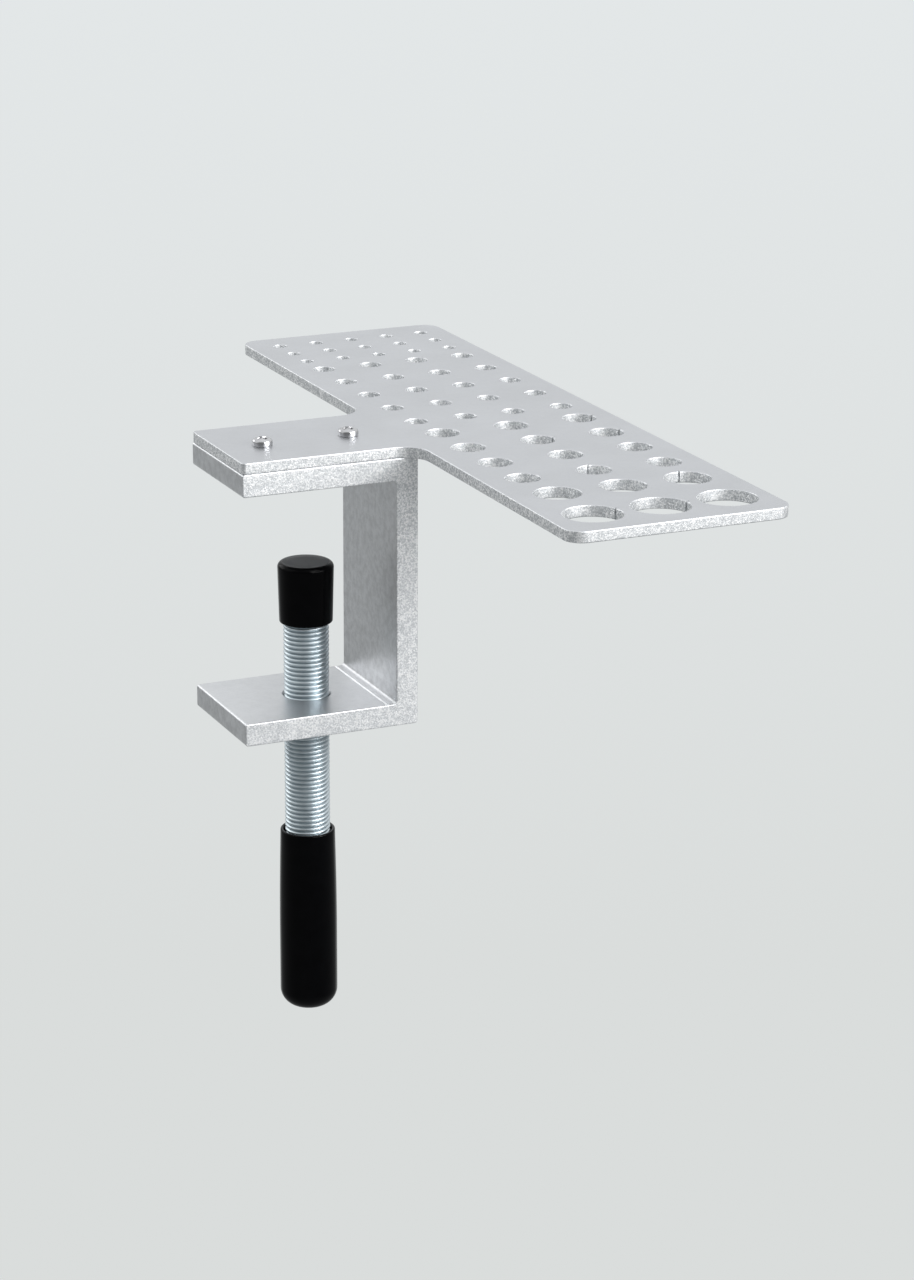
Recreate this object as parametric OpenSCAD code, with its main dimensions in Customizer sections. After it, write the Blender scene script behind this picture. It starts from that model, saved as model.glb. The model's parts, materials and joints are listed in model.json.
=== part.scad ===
// Bench-edge tool holder: a perforated T-shaped plate on a C-shaped screw clamp.
// Origin: on the clamp screw's axis, in the underside of the bracket's upper arm,
// which is the face that sits on the bench top. +X runs along the plate's stem
// towards its bar, +Y along the bar, +Z up. Lengths are in millimetres.

/* [Holder plate] */
// Length of the bar that carries the tool holes
bar_l = 227.5; // [225:0.5:240]
// Width of the bar
bar_w = 63.5; // [60:0.5:75]
// Distance from the stem's centre line to the bar's middle
bar_shift = 0.6; // [-2:0.1:2]
// Width of the stem
stem_w = 38.1; // [30:0.1:45]
// Thickness of the plate
plate_t = 3.175; // [2:0.025:5]
// Radius of the bar's four corners
bar_corner_r = 5; // [2:0.5:9]
// Radius of the two fillets where the stem meets the bar
stem_fillet_r = 7; // [2:0.5:9]
// Radius of the corners at the stem's free end
stem_corner_r = 1.2; // [0.5:0.1:5]

/* [Tool holes] */
// Diameter of the holes in the three five-hole rows
tiny_hole_d = 3.97; // [3:0.01:5]
// Diameter of the holes in the five four-hole rows
small_hole_d = 6.35; // [5:0.01:8]
// Diameter of the holes in the four three-hole rows
medium_hole_d = 9.53; // [8:0.01:11]
// Diameter of the holes in the last row but one
large_hole_d = 12.7; // [11:0.1:14]
// Diameter of the holes in the last row
giant_hole_d = 15.88; // [14:0.01:17]
// Distance from the bar's middle to the middle of every row, away from the stem
hole_shift = 0.35; // [-1:0.05:1]

/* [Clamp bracket] */
// Length of the two arms, from their free ends to the back of the web
bracket_l = 50.8; // [45:0.1:60]
// Height over both arms
bracket_h = 76.2; // [70:0.1:90]
// Depth of the channel section that the bracket is cut from
bracket_d = 38.1; // [30:0.1:45]
// Wall thickness of the channel
bracket_t = 6.35; // [5:0.05:8]
// Radius of the outer corners
bracket_outer_r = 1; // [0.4:0.1:3]
// Radius of the fillets inside the throat
bracket_inner_r = 1; // [0.4:0.1:3]

/* [Clamp screw] */
// Outside diameter of the threaded rod
rod_d = 12.7; // [10:0.1:16]
// Length of the rod
rod_l = 127; // [115:0.5:127.5]
// Radial running clearance between the rod and the holes around it
rod_clear = 0.05; // [0.02:0.01:0.1]
// Bench thickness between the upper arm and the cap at rest
jaw_opening = 25.4; // [15:0.1:35]

/* [Pressure cap and grip] */
// Height of the cap
cap_h = 17.1; // [12:0.1:20]
// Diameter of the cap at its closed top
cap_top_d = 15.6; // [15:0.1:20]
// Diameter of the cap at its mouth
cap_mouth_d = 14.9; // [14.5:0.1:20]
// Radius of the cap's top edge
cap_edge_r = 1.4; // [0.5:0.1:3]
// Thickness of the cap's end wall
cap_end_t = 1.8; // [1:0.1:3]
// Length of the grip
grip_l = 53.4; // [45:0.1:55]
// Diameter of the grip at its mouth
grip_mouth_d = 15.5; // [15:0.1:20]
// Largest diameter of the grip
grip_max_d = 16.2; // [16:0.1:20]
// Radius of the grip's lower edge
grip_edge_r = 5; // [2:0.5:7]
// Thickness of the grip's end wall
grip_end_t = 2.6; // [1:0.1:4]

/* [Plate screws] */
// Distance between the two plate screws
screw_gap = 25.4; // [20:0.1:30]
// Distance from the rod's axis to the middle of the two screws, towards the stem's end
screw_shift = 0.6; // [-2:0.1:2]
// Y of the screw at the stem's end
screw_outer_y = -2.6; // [-5:0.1:5]
// Y of the screw nearer the bar
screw_inner_y = -1.8; // [-5:0.1:5]
// Diameter of the screw shank
screw_d = 2.9; // [2.5:0.1:4]
// Diameter of the screw head
screw_head_d = 5.7; // [5:0.1:8]
// Height of the screw head
screw_head_h = 2.2; // [1.5:0.1:3]

/* [Hidden] */
$fn = 96;
eps = 0.01;
over = 1; // how far a cut runs past a face

alu = "#c3c7ca";
alu_sawn = "#b4b8bb";
zinc = "#9fa9b0";
nickel = "#d5d8da";
vinyl = "#17181a";

// Plan of the plate
bar_x0 = bracket_l/2;
bar_x = bar_x0 + bar_w/2;
plate_z = bracket_t;
plate_top = plate_z + plate_t;

// Rows of tool holes, largest holes nearest the -Y end:
// [diameter, rows, holes in a row, distance between holes, distance between rows, Y of the first row]
HOLE_GROUPS = [
    [tiny_hole_d,   3, 5, 11.5, -10.65, 104.5],
    [small_hole_d,  5, 4, 14.8, -16.8,   72.0],
    [medium_hole_d, 4, 3, 20.8, -17.1,   -9.6],
    [large_hole_d,  1, 3, 18.9,   0,    -77.9],
    [giant_hole_d,  1, 3, 19.3,   0,    -99.1]
];
hole_x = bar_x + hole_shift;

// Bracket, rod and the pieces on the rod
web_x0 = bracket_l/2 - bracket_t;
throat_h = bracket_h - 2*bracket_t;
bracket_z0 = bracket_t - bracket_h;
cap_top = -jaw_opening;
cap_bottom = cap_top - cap_h;
rod_top = cap_top - cap_end_t;
rod_bottom = rod_top - rod_l;
rod_chamfer = 0.9;
grip_bottom = rod_bottom - grip_end_t;
grip_top = grip_bottom + grip_l;
grip_belly = 0.55*grip_l;

// Plate screws: their places on the stem, their holes, and the size of their cross recess
screw_places = [[-screw_gap/2 - screw_shift, screw_outer_y], [screw_gap/2 - screw_shift, screw_inner_y]];
screw_tip_gap = 0.8;
screw_l = plate_t + bracket_t - screw_tip_gap;
plate_hole_d = screw_d + 0.4;
arm_hole_d = screw_d + 0.1;
recess_w = 0.8;
recess_l = 3.2;
recess_h = 1.2;
screw_crown_r = 1;

// Points of an arc about [x, z], from angle a0 to angle a1
function arc_points(x, z, r, a0, a1, steps = 9) =
    [for (i = [0:steps]) let (a = a0 + (a1 - a0)*i/steps) [x + r*cos(a), z + r*sin(a)]];

module rounded_rect(size, r) {
    square([size[0] - 2*r, size[1]], center = true);
    square([size[0], size[1] - 2*r], center = true);
    for (sx = [-1, 1], sy = [-1, 1])
        translate([sx*(size[0]/2 - r), sy*(size[1]/2 - r)])
            circle(r);
}

module stem_outline() {
    stem_l = bracket_l + 2*bar_corner_r;
    translate([stem_l/2 - bracket_l/2, 0])
        rounded_rect([stem_l, stem_w], stem_corner_r);
    for (side = [-1, 1])
        scale([1, side])
            translate([bar_x0 - stem_fillet_r, stem_w/2 - eps])
                difference() {
                    square([stem_fillet_r + eps, stem_fillet_r + eps]);
                    translate([0, stem_fillet_r + eps])
                        circle(stem_fillet_r);
                }
}

module plate_outline() {
    translate([bar_x, bar_shift])
        rounded_rect([bar_w, bar_l], bar_corner_r);
    stem_outline();
}

module tool_holes() {
    for (g = HOLE_GROUPS, row = [0:g[1] - 1], i = [0:g[2] - 1])
        translate([hole_x + (i - (g[2] - 1)/2)*g[3], g[5] + row*g[4], plate_z - over])
            cylinder(d = g[0], h = plate_t + 2*over);
}

module holder_plate() {
    color(alu)
    difference() {
        translate([0, 0, plate_z])
            linear_extrude(plate_t)
                plate_outline();
        tool_holes();
        for (p = screw_places)
            translate([p[0], p[1], plate_z - over])
                cylinder(d = plate_hole_d, h = plate_t + 2*over);
    }
}

// C-shaped section in the XZ plane: the throat is open towards -X
module bracket_profile() {
    difference() {
        translate([0, bracket_t - bracket_h/2])
            rounded_rect([bracket_l, bracket_h], bracket_outer_r);
        translate([web_x0 - bracket_l, -throat_h/2])
            rounded_rect([2*bracket_l, throat_h], bracket_inner_r);
    }
}

module clamp_bracket() {
    color(alu_sawn)
    difference() {
        rotate([90, 0, 0])
            linear_extrude(bracket_d, center = true)
                bracket_profile();
        translate([0, 0, bracket_z0 - over])
            cylinder(d = rod_d + 2*rod_clear, h = bracket_t + 2*over);
        for (p = screw_places)
            translate([p[0], p[1], -over])
                cylinder(d = arm_hole_d, h = bracket_t + 2*over);
    }
}

// Low pan-head screw with a cross recess, its head resting on the plate
module plate_screw(place) {
    head_r = screw_head_d/2;
    color(nickel)
    translate([place[0], place[1], plate_top]) {
        difference() {
            rotate_extrude()
                polygon(concat(
                    [[0, 0], [head_r, 0]],
                    arc_points(head_r - screw_crown_r, screw_head_h - screw_crown_r, screw_crown_r, 0, 90),
                    [[0, screw_head_h]]
                ));
            for (turn = [0, 90])
                rotate(turn)
                    translate([-recess_l/2, -recess_w/2, screw_head_h - recess_h])
                        cube([recess_l, recess_w, recess_h + over]);
        }
        translate([0, 0, -screw_l])
            cylinder(d = screw_d, h = screw_l + eps);
    }
}

module plate_screw_outer() plate_screw(screw_places[0]);

module plate_screw_inner() plate_screw(screw_places[1]);

module clamp_screw() {
    color(zinc)
    rotate_extrude()
        polygon([
            [0, rod_bottom],
            [rod_d/2 - rod_chamfer, rod_bottom],
            [rod_d/2, rod_bottom + rod_chamfer],
            [rod_d/2, rod_top - rod_chamfer],
            [rod_d/2 - rod_chamfer, rod_top],
            [0, rod_top]
        ]);
}

// Bore that the rod's end sits in, open at one end
module rod_seat(z_low, z_high) {
    translate([0, 0, z_low])
        cylinder(d = rod_d + 2*rod_clear, h = z_high - z_low);
}

module pressure_cap() {
    color(vinyl)
    difference() {
        rotate_extrude()
            polygon(concat(
                [[0, cap_bottom], [cap_mouth_d/2, cap_bottom]],
                arc_points(cap_top_d/2 - cap_edge_r, cap_top - cap_edge_r, cap_edge_r, 0, 90),
                [[0, cap_top]]
            ));
        rod_seat(cap_bottom - over, rod_top);
    }
}

module handle_grip() {
    color(vinyl)
    difference() {
        rotate_extrude()
            polygon(concat(
                [[0, grip_top], [0, grip_bottom]],
                arc_points(grip_max_d/2 - grip_edge_r, grip_bottom + grip_edge_r, grip_edge_r, -90, 0),
                [[grip_max_d/2, grip_bottom + grip_belly], [grip_mouth_d/2, grip_top]]
            ));
        rod_seat(rod_bottom, grip_top + over);
    }
}

holder_plate();
clamp_bracket();
plate_screw_outer();
plate_screw_inner();
clamp_screw();
pressure_cap();
handle_grip();
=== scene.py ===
"""Bench-edge tool holder: perforated T plate, C-shaped clamp bracket, threaded rod, cap and grip.

Everything is in metres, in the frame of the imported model: origin in the bench seat on the rod's
axis, +X along the stem, +Y along the bar, +Z up. Sizes come from the frame's boxes and mounts.
"""

import json
import math
import random

import bmesh
import bpy
from mathutils import Matrix, Vector


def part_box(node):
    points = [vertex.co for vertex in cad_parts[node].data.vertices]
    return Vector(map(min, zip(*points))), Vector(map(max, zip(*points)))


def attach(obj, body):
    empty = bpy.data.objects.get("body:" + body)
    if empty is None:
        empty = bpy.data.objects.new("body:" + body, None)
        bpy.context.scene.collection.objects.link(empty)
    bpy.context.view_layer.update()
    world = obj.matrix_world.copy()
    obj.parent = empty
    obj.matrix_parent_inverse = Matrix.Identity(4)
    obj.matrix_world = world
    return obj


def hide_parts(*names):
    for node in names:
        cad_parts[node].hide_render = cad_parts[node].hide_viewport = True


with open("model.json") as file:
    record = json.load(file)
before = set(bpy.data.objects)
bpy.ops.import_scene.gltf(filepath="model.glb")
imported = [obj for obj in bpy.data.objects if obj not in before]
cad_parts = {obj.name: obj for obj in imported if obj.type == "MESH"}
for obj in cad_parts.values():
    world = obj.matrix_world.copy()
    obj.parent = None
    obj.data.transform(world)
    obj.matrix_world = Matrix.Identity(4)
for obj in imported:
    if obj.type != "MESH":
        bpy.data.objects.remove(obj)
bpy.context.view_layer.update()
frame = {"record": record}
MM = 0.001

# ---------------------------------------------------------------- sizes taken from the frame
PLATE_LO, PLATE_HI = (Vector(c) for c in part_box("holder_plate"))
BRACKET_LO, BRACKET_HI = (Vector(c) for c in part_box("clamp_bracket"))
ROD_LO, ROD_HI = (Vector(c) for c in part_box("clamp_screw"))
CAP_LO, CAP_HI = (Vector(c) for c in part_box("pressure_cap"))
GRIP_LO, GRIP_HI = (Vector(c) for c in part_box("handle_grip"))
HOLE_PATTERNS = [m for m in frame["record"]["mounts"] if m["kind"] == "bolt_pattern"]

PLATE_T = PLATE_HI.z - PLATE_LO.z
ARM_T = BRACKET_HI.z                      # the upper arm's underside is at z = 0
STEM_HALF = BRACKET_HI.y
WEB_X = BRACKET_HI.x - ARM_T
ROD_R = ROD_HI.x

# ---------------------------------------------------------------- sizes of the detail
BAR_CORNER = 5.0 * MM
STEM_FILLET = 7.0 * MM
STEM_CORNER = 1.2 * MM
PLATE_EDGE = 0.34 * MM                    # tumbled round on the plate's outline and holes
BRACKET_EDGE = 0.32 * MM                  # round along the bracket's sawn sides
BRACKET_CORNER = 1.0 * MM
ARM_TIP = 0.7 * MM
HEEL_FILLET = 1.1 * MM
LINE_AWAY = 2.7 * MM                      # die line along the heel of the lower arm
LINE_WIDTH = 0.62 * MM
HOLE_STEPS = 56
NICK_DEPTH = 0.75 * MM                    # where the cutter entered some of the larger holes
NICK_WIDTH = 0.80 * MM
NICK_TURNS = (8, 17, 60, 83, 190, 250)    # degrees round the hole
NICKS_IN_LARGEST = (17, 7)
NICKED_R = 4 * MM
NICK_CHANCE = 0.3
NICK_SEED = 5
PITCH = 1.27 * MM                         # 20 threads to the inch
THREAD_DEPTH = 0.64 * MM
THREAD_STEPS = 48                         # points round one turn
THREAD_ROWS = 12                          # rows across one thread
ROD_CHAMFER = 0.9 * MM
RUN_CLEAR = 0.05 * MM                     # between the rod and its bore in the lower arm
SEAT_R = ROD_R + 0.10 * MM                # bore of the cap and of the grip's deep end
SEAT_GAP = 0.10 * MM                      # between the rod's ends and the blind ends of the seats
CAP_MOUTH_R = 7.42 * MM
CAP_EDGE = 1.5 * MM
CAP_LIP = 0.35 * MM
GRIP_MOUTH_R = 7.66 * MM
GRIP_EDGE = 5.2 * MM
GRIP_LIP = 0.4 * MM
SHANK_R = 1.45 * MM
HEAD_EDGE = 1.05 * MM
HEAD_CROWN = 0.28 * MM
SCREW_HOLE_R = 1.65 * MM                  # in the plate
ARM_HOLE_LESS = 0.20 * MM                 # how much smaller the hole's radius is in the arm
RECESS_DEPTH = 1.25 * MM
RECESS_TOP = (4.9 * MM, 1.25 * MM)        # length and width of a recess blade above the head
RECESS_LOW = (1.6 * MM, 0.5 * MM)         # and at its bottom
RECESS_TURNS = (20, 110)                  # degrees


# ---------------------------------------------------------------- mesh helpers
def link(name, mesh):
    piece = bpy.data.objects.new(name, mesh)
    bpy.context.scene.collection.objects.link(piece)
    return piece


def from_bmesh(name, bm):
    """Turns the bmesh into a linked object and frees it."""
    mesh = bpy.data.meshes.new(name)
    bm.to_mesh(mesh)
    bm.free()
    return link(name, mesh)


def evaluated_mesh(piece):
    """A new mesh of the piece with its modifiers or its curve settings applied."""
    graph = bpy.context.evaluated_depsgraph_get()
    return bpy.data.meshes.new_from_object(piece.evaluated_get(graph))


def smooth(piece, degrees=32.0, weighted=True):
    """Smooth shading with sharp edges above an angle, and normals weighted by face area."""
    for face in piece.data.polygons:
        face.use_smooth = True
    piece.data.set_sharp_from_angle(angle=math.radians(degrees))
    if weighted:
        flat = piece.modifiers.new("flat_faces", "WEIGHTED_NORMAL")
        flat.keep_sharp = True
        flat.weight = 100
    return piece


def arc(cx, cy, radius, start, end, steps):
    """Points of an arc about (cx, cy), angles in degrees, both ends included."""
    angles = [math.radians(start + (end - start) * i / steps) for i in range(steps + 1)]
    return [(cx + radius * math.cos(a), cy + radius * math.sin(a)) for a in angles]


def rounded_slab(name, outlines, thickness, edge, steps=3):
    """A slab of closed outlines in the XY plane, the first one solid and the rest holes, with its
    edges rounded inwards by the radius edge."""
    curve = bpy.data.curves.new(name, "CURVE")
    curve.dimensions = "2D"
    curve.fill_mode = "BOTH"
    curve.extrude = thickness / 2 - edge
    curve.bevel_depth = edge
    curve.bevel_resolution = steps
    curve.offset = -edge
    for outline in outlines:
        spline = curve.splines.new("POLY")
        spline.points.add(len(outline) - 1)
        for point, (x, y) in zip(spline.points, outline):
            point.co = (x, y, 0, 1)
        spline.use_cyclic_u = True
    holder = link(name + "_curve", curve)
    mesh = evaluated_mesh(holder)
    mesh.name = name
    bpy.data.objects.remove(holder)
    bpy.data.curves.remove(curve)
    bm = bmesh.new()
    bm.from_mesh(mesh)
    bmesh.ops.remove_doubles(bm, verts=bm.verts, dist=1e-6)
    bmesh.ops.recalc_face_normals(bm, faces=bm.faces)
    bm.to_mesh(mesh)
    bm.free()
    mesh.materials.clear()
    return link(name, mesh)


def lathe(name, profile, steps=96):
    """Turns a closed profile of (radius, z) points about the Z axis."""
    bm = bmesh.new()
    rings = []
    for radius, z in profile:
        if radius < 1e-7:
            rings.append([bm.verts.new((0, 0, z))])
            continue
        turn = [2 * math.pi * i / steps for i in range(steps)]
        rings.append([bm.verts.new((radius * math.cos(a), radius * math.sin(a), z)) for a in turn])
    for low, high in zip(rings, rings[1:] + rings[:1]):
        for i in range(steps):
            j = (i + 1) % steps
            if len(low) == 1 and len(high) == 1:
                break
            if len(low) == 1:
                bm.faces.new((low[0], high[j], high[i]))
            elif len(high) == 1:
                bm.faces.new((low[i], low[j], high[0]))
            else:
                bm.faces.new((low[i], low[j], high[j], high[i]))
    bmesh.ops.recalc_face_normals(bm, faces=bm.faces)
    return from_bmesh(name, bm)


def cut(piece, cutters):
    """Subtracts the cutters from the piece and removes them."""
    for cutter in cutters:
        subtract = piece.modifiers.new("cut", "BOOLEAN")
        subtract.operation = "DIFFERENCE"
        subtract.solver = "EXACT"
        subtract.object = cutter
    mesh = evaluated_mesh(piece)
    piece.modifiers.clear()
    piece.data = mesh
    for cutter in cutters:
        bpy.data.objects.remove(cutter)
    return piece


def drill(x, y, z_low, z_high, radius, chamfer):
    """A drill with a countersink at both faces, to be cut from a wall between z_low and z_high."""
    past = 1 * MM
    wide = radius + chamfer
    profile = [
        (0, z_low - past), (wide + past, z_low - past), (wide, z_low),
        (radius, z_low + chamfer), (radius, z_high - chamfer),
        (wide, z_high), (wide + past, z_high + past), (0, z_high + past),
    ]
    tool = lathe("drill", profile, steps=64)
    tool.location = (x, y, 0)
    return tool


# ---------------------------------------------------------------- material helpers
class Nodes:
    """A material's node tree, with short calls for the nodes used here."""

    def __init__(self, name):
        self.material = bpy.data.materials.new(name)
        self.material.use_nodes = True
        self.tree = self.material.node_tree
        self.shader = self.tree.nodes["Principled BSDF"]
        self.place = self.tree.nodes.new("ShaderNodeTexCoord").outputs["Object"]

    def set(self, **sockets):
        for name, value in sockets.items():
            self.shader.inputs[name.replace("_", " ")].default_value = value
        return self

    def link(self, output, target):
        self.tree.links.new(output, target)

    def to(self, output, socket):
        self.link(output, self.shader.inputs[socket])

    def noise(self, scale, detail=4.0, rough=0.55):
        node = self.tree.nodes.new("ShaderNodeTexNoise")
        node.inputs["Scale"].default_value = scale
        node.inputs["Detail"].default_value = detail
        node.inputs["Roughness"].default_value = rough
        self.link(self.place, node.inputs["Vector"])
        return node.outputs["Fac"]

    def ramp(self, value, stops):
        """stops is [(position, (r, g, b) or grey), ...]."""
        node = self.tree.nodes.new("ShaderNodeValToRGB")
        ramp = node.color_ramp
        while len(ramp.elements) < len(stops):
            ramp.elements.new(0.5)
        for element, (position, colour) in zip(ramp.elements, stops):
            rgb = (colour,) * 3 if isinstance(colour, (int, float)) else colour
            element.position = position
            element.color = (*rgb, 1)
        self.link(value, node.inputs["Fac"])
        return node.outputs["Color"]

    def mix(self, factor, a, b, blend="MIX"):
        node = self.tree.nodes.new("ShaderNodeMix")
        node.data_type = "RGBA"
        node.blend_type = blend
        for socket, value in ((node.inputs[0], factor), (node.inputs[6], a), (node.inputs[7], b)):
            if isinstance(value, bpy.types.NodeSocket):
                self.link(value, socket)
            else:
                socket.default_value = value if isinstance(value, float) else (*value, 1)
        return node.outputs[2]

    def math(self, operation, a, b=0.0):
        node = self.tree.nodes.new("ShaderNodeMath")
        node.operation = operation
        node.use_clamp = True
        for socket, value in ((node.inputs[0], a), (node.inputs[1], b)):
            if isinstance(value, bpy.types.NodeSocket):
                self.link(value, socket)
            else:
                socket.default_value = value
        return node.outputs[0]

    def facing(self, axis):
        """1 on faces whose normal lies along the axis, either way, and 0 across it."""
        geometry = self.tree.nodes.new("ShaderNodeNewGeometry")
        split = self.tree.nodes.new("ShaderNodeSeparateXYZ")
        self.link(geometry.outputs["True Normal"], split.inputs[0])
        absolute = self.tree.nodes.new("ShaderNodeMath")
        absolute.operation = "ABSOLUTE"
        self.link(split.outputs[axis], absolute.inputs[0])
        return absolute.outputs[0]

    def bump(self, height, strength, distance, below=None):
        node = self.tree.nodes.new("ShaderNodeBump")
        node.inputs["Strength"].default_value = strength
        node.inputs["Distance"].default_value = distance
        self.link(height, node.inputs["Height"])
        if below is not None:
            self.link(below, node.inputs["Normal"])
        return node.outputs["Normal"]


# ---------------------------------------------------------------- materials
def aluminium(name, cut_axis, cut_is_facing, face_tone, cut_tone, mottle):
    """Satin aluminium. Sawn or cut faces are coarse and speckled, rolled faces are fine.
    cut_is_facing says whether the cut faces lie along cut_axis or across it."""
    m = Nodes(name).set(Metallic=1.0)
    along = m.facing(cut_axis)
    stops = [(0.45, 0.0), (0.62, 1.0)] if cut_is_facing else [(0.45, 1.0), (0.62, 0.0)]
    is_cut = m.ramp(along, stops)
    endwise = m.ramp(m.facing("X"), [(0.55, 0.0), (0.80, 1.0)])

    cloud = m.noise(60, 5)
    stain = m.noise(420, 5, 0.70)
    rolled = m.ramp(cloud, [(0.30, [c * 0.94 for c in face_tone]), (0.70, face_tone)])
    specks = m.ramp(m.noise(1500, 3, 0.7), [(0.56, 0.0), (0.70, 1.0)])
    rolled = m.mix(m.math("MULTIPLY", specks, 0.16), rolled, [c * 0.55 for c in face_tone])
    blotch = m.math("MULTIPLY", m.ramp(stain, [(0.40, 0.0), (0.62, 1.0)]), mottle)
    rolled = m.mix(m.math("MULTIPLY", blotch, m.math("ADD", m.math("MULTIPLY", endwise, 0.8), 0.2)),
                   rolled, [c * 0.62 for c in face_tone])

    grain = m.noise(1900, 4, 0.72)
    patches = m.noise(700, 4, 0.6)
    mixed = m.math("ADD", m.math("MULTIPLY", grain, 0.75), m.math("MULTIPLY", patches, 0.25))
    sawn = m.ramp(mixed, [(0.38, [c * 0.72 for c in cut_tone]),
                          (0.49, [c * 0.90 for c in cut_tone]),
                          (0.56, [min(1.0, c * 1.40) for c in cut_tone])])
    m.to(m.mix(is_cut, rolled, sawn), "Base Color")

    satin = m.ramp(m.mix(0.5, cloud, stain), [(0.3, 0.34), (0.7, 0.44)])
    m.to(m.mix(is_cut, satin, m.ramp(grain, [(0.35, 0.58), (0.65, 0.42)])), "Roughness")
    fine = m.bump(m.noise(2200, 3, 0.6), 0.10, 0.05 * MM)
    relief = m.math("ADD", m.math("MULTIPLY", grain, 0.7), m.math("MULTIPLY", patches, 0.4))
    coarse = m.mix(is_cut, m.math("MULTIPLY", stain, m.math("MULTIPLY", endwise, 0.15)), relief)
    m.to(m.bump(coarse, 0.8, 0.11 * MM, fine), "Normal")
    return m.material


def zinc():
    m = Nodes("zinc_plating").set(Metallic=1.0)
    cloud = m.noise(220, 4)
    m.to(m.ramp(cloud, [(0.3, (0.46, 0.52, 0.55)), (0.7, (0.56, 0.62, 0.65))]), "Base Color")
    m.to(m.ramp(m.noise(500, 3), [(0.3, 0.30), (0.7, 0.40)]), "Roughness")
    m.to(m.bump(m.noise(380, 2), 0.05, 0.05 * MM), "Normal")
    return m.material


def nickel():
    m = Nodes("nickel_plating").set(Metallic=1.0)
    tones = [(0.3, (0.46, 0.46, 0.47)), (0.7, (0.56, 0.56, 0.57))]
    m.to(m.ramp(m.noise(400, 3), tones), "Base Color")
    m.to(m.ramp(m.noise(900, 3), [(0.3, 0.07), (0.7, 0.13)]), "Roughness")
    m.to(m.bump(m.noise(1200, 2), 0.06, 0.03 * MM), "Normal")
    return m.material


def vinyl():
    m = Nodes("black_vinyl").set(Specular_IOR_Level=0.06, IOR=1.5)
    tones = [(0.3, (0.0004, 0.0004, 0.0006)), (0.7, (0.0009, 0.0009, 0.0012))]
    black = m.ramp(m.noise(300, 4), tones)
    # Painted sheen: faces along Z (the cap's top and the bottom of the grip) get a lighter base
    # colour, standing in for the top's reflection of the bright surroundings that the low specular
    # level leaves out.
    ends = m.ramp(m.facing("Z"), [(0.93, 0.0), (0.995, 1.0)])
    m.to(m.mix(ends, black, (0.050, 0.051, 0.053)), "Base Color")
    m.to(m.ramp(m.noise(160, 4), [(0.3, 0.08), (0.7, 0.14)]), "Roughness")
    ripple = m.bump(m.noise(120, 2), 0.10, 0.30 * MM)
    m.to(m.bump(m.noise(1500, 3), 0.04, 0.03 * MM, ripple), "Normal")
    return m.material


def paper(name, tone):
    m = Nodes(name).set(Roughness=0.9, Specular_IOR_Level=0.1)
    m.to(m.ramp(m.noise(3, 2), [(0.3, [c * 0.995 for c in tone]), (0.7, tone)]), "Base Color")
    return m.material


# ---------------------------------------------------------------- pieces
def hole_outline(x, y, radius):
    """A circle, clockwise."""
    turns = [-2 * math.pi * i / HOLE_STEPS for i in range(HOLE_STEPS)]
    return [(x + radius * math.cos(a), y + radius * math.sin(a)) for a in turns]


def plate_outline():
    """The T shape, anticlockwise, from the stem's end."""
    x0, x1 = PLATE_LO.x, PLATE_HI.x
    y0, y1 = PLATE_LO.y, PLATE_HI.y
    bar_x = BRACKET_HI.x
    corner, fillet, end, half = BAR_CORNER, STEM_FILLET, STEM_CORNER, STEM_HALF
    points = []
    points += arc(x0 + end, half - end, end, 90, 180, 5)
    points += arc(x0 + end, -half + end, end, 180, 270, 5)
    points += arc(bar_x - fillet, -half - fillet, fillet, 90, 0, 12)
    points += arc(bar_x + corner, y0 + corner, corner, 180, 270, 10)
    points += arc(x1 - corner, y0 + corner, corner, 270, 360, 10)
    points += arc(x1 - corner, y1 - corner, corner, 0, 90, 10)
    points += arc(bar_x + corner, y1 - corner, corner, 90, 180, 10)
    points += arc(bar_x - fillet, half + fillet, fillet, 0, -90, 12)
    return points


def tool_holes():
    """(x, y, radius) of every tool hole. Patterns of two or four share some holes."""
    holes = set()
    for pattern in HOLE_PATTERNS:
        x, y, _ = pattern["pos_m"]
        dims = pattern["dims"]
        half_x, half_y = (dims.get(key, 0) / 2 * MM for key in ("spacing_x_mm", "spacing_y_mm"))
        for at_x in {x - half_x, x + half_x}:
            for at_y in {y - half_y, y + half_y}:
                holes.add((round(at_x, 6), round(at_y, 6), dims["hole_r_mm"] * MM))
    return sorted(holes)


def make_nicks(holes):
    """Upright wedges in the walls of some larger holes, where the cutter entered and left."""
    random.seed(NICK_SEED)
    largest = max(radius for _, _, radius in holes)
    front_row = iter(NICKS_IN_LARGEST)
    bm = bmesh.new()
    for x, y, radius in holes:
        degrees = None
        if radius == largest:
            degrees = next(front_row, None)
        elif radius > NICKED_R and random.random() < NICK_CHANCE:
            degrees = random.choice(NICK_TURNS)
        if degrees is None:
            continue
        turn = math.radians(degrees)
        out = Vector((math.cos(turn), math.sin(turn), 0))
        side = Vector((-out.y, out.x, 0)) * NICK_WIDTH / 2
        centre = Vector((x, y, 0))
        inner = centre + out * (radius - NICK_WIDTH)
        outer = centre + out * (radius + NICK_DEPTH)
        corners = (inner - side, outer - side * 0.4, outer + side * 0.4, inner + side)
        low, high = ([bm.verts.new((p.x, p.y, z)) for p in corners]
                     for z in (PLATE_LO.z - MM, PLATE_HI.z + MM))
        bm.faces.new(low[::-1])
        bm.faces.new(high)
        for i in range(4):
            j = (i + 1) % 4
            bm.faces.new((low[i], low[j], high[j], high[i]))
    return from_bmesh("nicks", bm)


def make_plate(screw_places):
    holes = tool_holes()
    outlines = [plate_outline()] + [hole_outline(*hole) for hole in holes + screw_places]
    plate = rounded_slab("perforated_plate", outlines, PLATE_T, PLATE_EDGE)
    plate.data.transform(Matrix.Translation((0, 0, (PLATE_LO.z + PLATE_HI.z) / 2)))
    return smooth(cut(plate, [make_nicks(holes)]))


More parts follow.
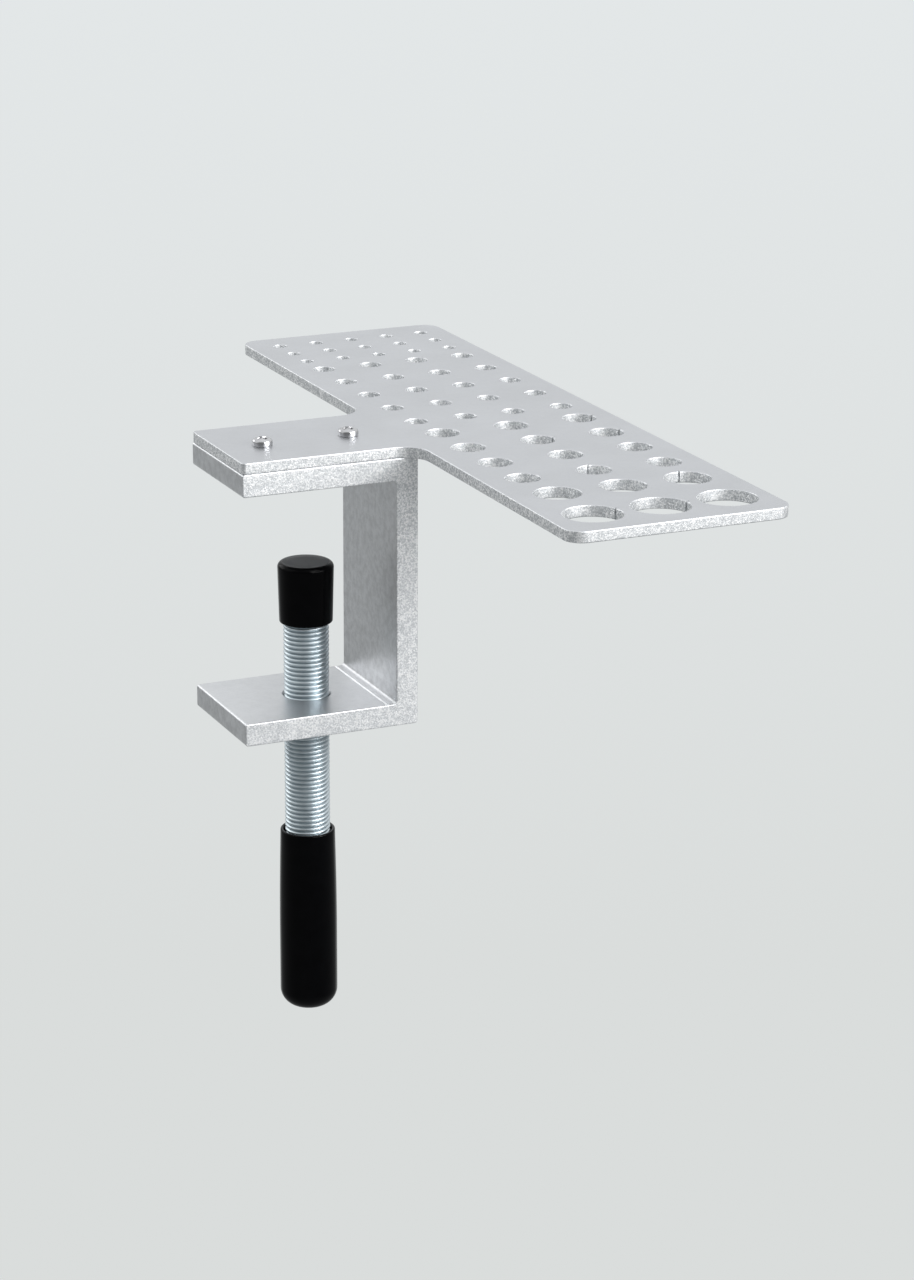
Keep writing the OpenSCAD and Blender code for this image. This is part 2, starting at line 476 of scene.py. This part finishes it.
def heel_line(z):
    """A shallow V left by the die along the heel of the lower arm, as a bar to be cut away."""
    bm = bmesh.new()
    bmesh.ops.create_cube(bm, size=1.0)
    length = BRACKET_HI.y - BRACKET_LO.y + 2 * MM
    bm.transform(Matrix.Diagonal((LINE_WIDTH, length, LINE_WIDTH, 1)))
    bm.transform(Matrix.Rotation(math.radians(45), 4, "Y"))
    bar = from_bmesh("heel_line", bm)
    bar.location = (WEB_X - LINE_AWAY, 0, z + 0.2 * LINE_WIDTH)
    return bar


def make_bracket(screw_places):
    """The channel section in the XZ plane, drawn flat, rounded and stood up."""
    x0, x1 = BRACKET_LO.x, BRACKET_HI.x
    z0, z1 = BRACKET_LO.z, BRACKET_HI.z
    low = z0 + ARM_T
    r, tip, heel = BRACKET_CORNER, ARM_TIP, HEEL_FILLET
    outline = []
    outline += arc(x0 + tip, z1 - tip, tip, 90, 180, 4)
    outline += arc(x0 + tip, tip, tip, 180, 270, 4)
    outline += arc(WEB_X - r, -r, r, 90, 0, 5)
    outline += arc(WEB_X - heel, low + heel, heel, 0, -90, 7)
    outline += arc(x0 + tip, low - tip, tip, 90, 180, 4)
    outline += arc(x0 + tip, z0 + tip, tip, 180, 270, 4)
    outline += arc(x1 - r, z0 + r, r, 270, 360, 5)
    outline += arc(x1 - r, z1 - r, r, 0, 90, 5)
    depth = BRACKET_HI.y - BRACKET_LO.y
    bracket = rounded_slab("channel_bracket", [outline], depth, BRACKET_EDGE)
    bracket.data.transform(Matrix.Rotation(math.radians(90), 4, "X"))
    drills = [drill(0, 0, z0, low, ROD_R + RUN_CLEAR, 0.5 * MM)]
    for x, y, radius in screw_places:
        drills.append(drill(x, y, 0, z1, radius - ARM_HOLE_LESS, 0.25 * MM))
    return smooth(cut(bracket, drills + [heel_line(low)]))


def thread_radius(phase):
    """Radius across one thread: round crest at phase 0.5, narrow root at phase 0."""
    return ROD_R - THREAD_DEPTH * (1 - math.sin(math.pi * phase))


def make_rod():
    """A right-hand helical thread over the rod's whole length, with chamfered ends."""
    rows = THREAD_ROWS
    turns = math.ceil((ROD_HI.z - ROD_LO.z) / PITCH) + 1
    steps = turns * THREAD_STEPS
    bm = bmesh.new()
    grid = []
    for s in range(steps + 1):
        angle = 2 * math.pi * s / THREAD_STEPS
        line = []
        for j in range(rows + 1):
            z = ROD_LO.z + PITCH * (s / THREAD_STEPS - 1 + j / rows)
            inside = min(max(z, ROD_LO.z), ROD_HI.z)
            to_end = min(inside - ROD_LO.z, ROD_HI.z - inside)
            radius = min(thread_radius(j / rows), ROD_R - ROD_CHAMFER + to_end)
            line.append(bm.verts.new((radius * math.cos(angle), radius * math.sin(angle), inside)))
        grid.append(line)
    for a, b in zip(grid, grid[1:]):
        for j in range(rows):
            bm.faces.new((a[j], b[j], b[j + 1], a[j + 1]))
    bmesh.ops.remove_doubles(bm, verts=bm.verts, dist=2e-7)
    flat = [f for f in bm.faces if f.calc_area() < 1e-14]
    bmesh.ops.delete(bm, geom=flat, context="FACES")
    for z in (ROD_LO.z, ROD_HI.z):
        edges = [e for e in bm.edges if e.is_boundary]
        rim = [e for e in edges if all(abs(v.co.z - z) < 1e-6 for v in e.verts)]
        bmesh.ops.contextual_create(bm, geom=rim)
    bmesh.ops.recalc_face_normals(bm, faces=bm.faces)
    return smooth(from_bmesh("threaded_rod", bm), 50, weighted=False)


def make_cap():
    """Dip-moulded cap: soft top edge, slight taper, rounded lip."""
    top, low = CAP_HI.z, CAP_LO.z
    big, small = CAP_HI.x, CAP_MOUTH_R
    edge, lip = CAP_EDGE, CAP_LIP
    mouth = SEAT_R + 0.08 * MM
    profile = [(0, top - 0.05 * MM), (big * 0.45, top)]
    profile += arc(big - edge, top - edge, edge, 90, 0, 10)
    for i in range(1, 8):
        t = i / 8
        profile.append((big + (small - big) * t, top - edge + (low + lip - top + edge) * t))
    profile += arc(small - lip, low + lip, lip, 0, -90, 4)
    profile += arc(mouth + lip, low + lip, lip, -90, -180, 4)
    seat_end = ROD_HI.z + SEAT_GAP
    profile += [(mouth, low + 1.5 * MM), (SEAT_R, low + 2.5 * MM)]
    profile += [(SEAT_R, seat_end), (0, seat_end)]
    return smooth(lathe("vinyl_cap", profile), 40, weighted=False)


def make_grip():
    """Dip-moulded grip: a thin flared lip at the mouth, a slight belly, a round lower end."""
    top, low = GRIP_HI.z, GRIP_LO.z
    big, mouth = GRIP_HI.x, GRIP_MOUTH_R
    edge, lip = GRIP_EDGE, GRIP_LIP
    inner = SEAT_R + 0.30 * MM
    belly = low + 0.45 * (top - low)
    profile = [(0, low + 0.10 * MM), (1.2 * MM, low)]
    profile += arc(big - edge, low + edge, edge, -90, 0, 14)
    for i in range(1, 15):
        t = i / 14
        z = low + edge + (top - lip - low - edge) * t
        waist = max(0.0, (z - belly) / (top - belly))
        profile.append((big - (big - mouth) * waist ** 1.8, z))
    profile += arc(mouth - lip, top - lip, lip, 12, 90, 4)
    profile += arc(inner + lip, top - lip, lip, 90, 180, 4)
    seat_end = ROD_LO.z - SEAT_GAP
    profile += [(inner, top - 3 * MM), (SEAT_R, top - 6 * MM)]
    profile += [(SEAT_R, seat_end), (0, seat_end)]
    return smooth(lathe("vinyl_grip", profile), 40, weighted=False)


def make_screw(node, name):
    """Low pan head with a cross recess, on a shank through the plate."""
    lo, hi = (Vector(c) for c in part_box(node))
    radius, seat, top = (hi.x - lo.x) / 2, PLATE_HI.z, hi.z
    shank, edge, crown = SHANK_R, HEAD_EDGE, HEAD_CROWN
    profile = [(0, top), ((radius - edge) * 0.5, top - crown * 0.35)]
    profile += arc(radius - edge, top - crown - edge, edge, 80, 8, 9)
    profile += [(radius, seat + 0.45 * MM), (radius - 0.12 * MM, seat + 0.05 * MM)]
    profile += [(radius - 0.3 * MM, seat)]
    profile += [(shank, seat), (shank, lo.z + 0.4 * MM), (shank - 0.4 * MM, lo.z), (0, lo.z)]
    screw = lathe(name, profile, steps=72)
    cutters = []
    for turn in RECESS_TURNS:
        bm = bmesh.new()
        bmesh.ops.create_cube(bm, size=1.0)
        for v in bm.verts:
            deep = v.co.z < 0
            length, width = RECESS_LOW if deep else RECESS_TOP
            v.co.x *= length
            v.co.y *= width
            v.co.z = top - RECESS_DEPTH if deep else top + 0.35 * MM
        blade = from_bmesh("blade", bm)
        blade.rotation_euler.z = math.radians(turn)
        cutters.append(blade)
    bpy.context.view_layer.update()
    screw = cut(screw, cutters)
    screw.data.transform(Matrix.Translation(((lo.x + hi.x) / 2, (lo.y + hi.y) / 2, 0)))
    return smooth(screw, 38, weighted=False)


def place(piece, body, node, material):
    """Gives the piece its look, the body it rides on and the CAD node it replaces."""
    piece.data.materials.clear()
    piece.data.materials.append(material)
    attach(piece, body)
    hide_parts(node)


def screw_hole(node):
    """(x, y, radius) of the plate's hole for a screw."""
    lo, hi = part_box(node)
    return (lo[0] + hi[0]) / 2, (lo[1] + hi[1]) / 2, SCREW_HOLE_R


def make_object():
    holes = [screw_hole(n) for n in ("plate_screw_outer", "plate_screw_inner")]
    plate_look = aluminium("plate_aluminium", "Z", False,
                           (0.575, 0.585, 0.605), (0.715, 0.735, 0.752), 0.12)
    bracket_look = aluminium("bracket_aluminium", "Y", True,
                             (0.68, 0.69, 0.705), (0.765, 0.785, 0.803), 0.5)
    black = vinyl()
    bright = nickel()
    place(make_plate(holes), "frame", "holder_plate", plate_look)
    place(make_bracket(holes), "frame", "clamp_bracket", bracket_look)
    place(make_rod(), "screw", "clamp_screw", zinc())
    place(make_cap(), "pad", "pressure_cap", black)
    place(make_grip(), "screw", "handle_grip", black)
    for node, name in (("plate_screw_outer", "outer_screw"), ("plate_screw_inner", "inner_screw")):
        place(make_screw(node, name), "frame", node, bright)


# ---------------------------------------------------------------- studio
CAMERA_AT = Vector((-0.3571, -0.8875, 0.2577))
CAMERA_YAW, CAMERA_PITCH, CAMERA_ROLL = 24.417, 17.734, 0.284
CAMERA_LENS = 102.08
FLOOR_Z = -1.5
FLOOR_R = 30
FLOOR_TONE = (0.38, 0.386, 0.386)
SEEN_SKY = (0.70, 0.722, 0.725)            # what the camera sees beyond the floor
WALL_AWAY = 2.0                           # backdrop: from the origin, along the view
WALL_SIZE = (3.4, 1.85)
WALL_LOW, WALL_HIGH = (0.690, 0.712, 0.705), (0.760, 0.790, 0.797)
SKY_LOW, SKY_MID, SKY_TOP = 0.34, 0.96, 1.2
DARK_SIDE = Vector((-0.52, -0.84, 0.12)).normalized()   # the unlit side, behind the camera
DARK_LEVEL = 0.42
DARK_FROM, DARK_TO = 0.45, 0.90           # cosine of the angle from it, where it starts and is full
LIGHTS_AIM = (0, 0, -0.03)


def make_camera():
    data = bpy.data.cameras.new("camera")
    data.lens = CAMERA_LENS
    data.sensor_width = 36
    data.clip_end = 100
    camera = link("camera", data)
    turn = Matrix.Rotation(math.radians(-CAMERA_YAW), 4, "Z")
    tilt = Matrix.Rotation(math.radians(90 - CAMERA_PITCH), 4, "X")
    roll = Matrix.Rotation(math.radians(CAMERA_ROLL), 4, "Z")
    camera.matrix_world = Matrix.Translation(CAMERA_AT) @ turn @ tilt @ roll
    bpy.context.scene.camera = camera


def area_light(name, at, size, watts):
    data = bpy.data.lights.new(name, "AREA")
    data.shape = "RECTANGLE"
    data.size, data.size_y = size
    data.energy = watts
    light = link(name, data)
    light.location = at
    light.rotation_euler = (Vector(LIGHTS_AIM) - Vector(at)).to_track_quat("-Z", "Y").to_euler()
    light.visible_camera = False


def make_world():
    """Light from all round, brighter towards the top, with one unlit side. The camera sees a plain
    pale tone beyond the floor."""
    world = bpy.data.worlds.new("studio")
    world.use_nodes = True
    tree = world.node_tree
    background = tree.nodes["Background"]
    split = tree.nodes.new("ShaderNodeSeparateXYZ")
    direction = tree.nodes.new("ShaderNodeTexCoord").outputs["Generated"]
    tree.links.new(direction, split.inputs[0])
    rise = tree.nodes.new("ShaderNodeValToRGB")
    ramp = rise.color_ramp
    for position, level in ((0.0, SKY_LOW), (0.30, SKY_MID), (0.95, SKY_TOP)):
        element = ramp.elements.new(position)
        element.color = (level / SKY_TOP,) * 3 + (1,)
    ramp.elements.remove(ramp.elements[0])
    ramp.elements.remove(ramp.elements[-1])
    tree.links.new(split.outputs["Z"], rise.inputs["Fac"])
    dot = tree.nodes.new("ShaderNodeVectorMath")
    dot.operation = "DOT_PRODUCT"
    dot.inputs[1].default_value = DARK_SIDE
    tree.links.new(direction, dot.inputs[0])
    fall = tree.nodes.new("ShaderNodeMapRange")
    fall.interpolation_type = "SMOOTHSTEP"
    limits = {"From Min": DARK_FROM, "From Max": DARK_TO, "To Min": SKY_TOP, "To Max": DARK_LEVEL}
    for socket, value in limits.items():
        fall.inputs[socket].default_value = value
    tree.links.new(dot.outputs["Value"], fall.inputs["Value"])
    scale = tree.nodes.new("ShaderNodeMath")
    scale.operation = "MULTIPLY"
    tree.links.new(rise.outputs["Color"], scale.inputs[0])
    tree.links.new(fall.outputs["Result"], scale.inputs[1])
    tree.links.new(scale.outputs[0], background.inputs["Strength"])
    background.inputs["Color"].default_value = (0.975, 0.99, 1.0, 1)
    plain = tree.nodes.new("ShaderNodeBackground")
    plain.inputs["Color"].default_value = (*SEEN_SKY, 1)
    choose = tree.nodes.new("ShaderNodeMixShader")
    tree.links.new(tree.nodes.new("ShaderNodeLightPath").outputs["Is Camera Ray"], choose.inputs[0])
    tree.links.new(background.outputs[0], choose.inputs[1])
    tree.links.new(plain.outputs[0], choose.inputs[2])
    tree.links.new(choose.outputs[0], tree.nodes["World Output"].inputs["Surface"])
    bpy.context.scene.world = world


def make_backdrop():
    """An upright wall behind the object that glows with its own emission, no lamp lighting it; the
    glow is painted brighter towards its top.
    """
    bm = bmesh.new()
    bmesh.ops.create_grid(bm, x_segments=1, y_segments=1, size=0.5)
    bm.transform(Matrix.Diagonal((*WALL_SIZE, 1, 1)))
    wall = from_bmesh("backdrop", bm)
    turn = Matrix.Rotation(math.radians(-CAMERA_YAW), 4, "Z")
    away = Matrix.Translation((0, WALL_AWAY, FLOOR_Z + WALL_SIZE[1] / 2))
    wall.matrix_world = turn @ away @ Matrix.Rotation(math.radians(90), 4, "X")
    m = Nodes("glowing_backdrop").set(Base_Color=(0, 0, 0, 1), Roughness=1.0, Emission_Strength=1.0)
    split = m.tree.nodes.new("ShaderNodeSeparateXYZ")
    m.link(m.place, split.inputs[0])
    height = m.math("ADD", split.outputs["Y"], 0.5)
    # Painted light: the wall's emission colour, darker at its foot and brighter towards its top.
    m.to(m.ramp(height, [(0.1, WALL_LOW), (0.95, WALL_HIGH)]), "Emission Color")
    wall.data.materials.append(m.material)


def make_studio():
    make_world()
    make_backdrop()
    bpy.context.scene.view_settings.view_transform = "Standard"
    bm = bmesh.new()
    bmesh.ops.create_circle(bm, cap_ends=True, segments=96, radius=FLOOR_R)
    floor = from_bmesh("floor", bm)
    floor.location.z = FLOOR_Z
    floor.data.materials.append(paper("pale_floor", FLOOR_TONE))
    area_light("key", (0.84, -1.30, 0.70), (1.9, 1.2), 27)
    area_light("glint", (0.98, -1.25, 0.66), (0.34, 0.34), 12)
    area_light("rim", (-0.85, 1.35, 0.60), (1.2, 0.8), 4)


make_camera()
make_studio()
make_object()
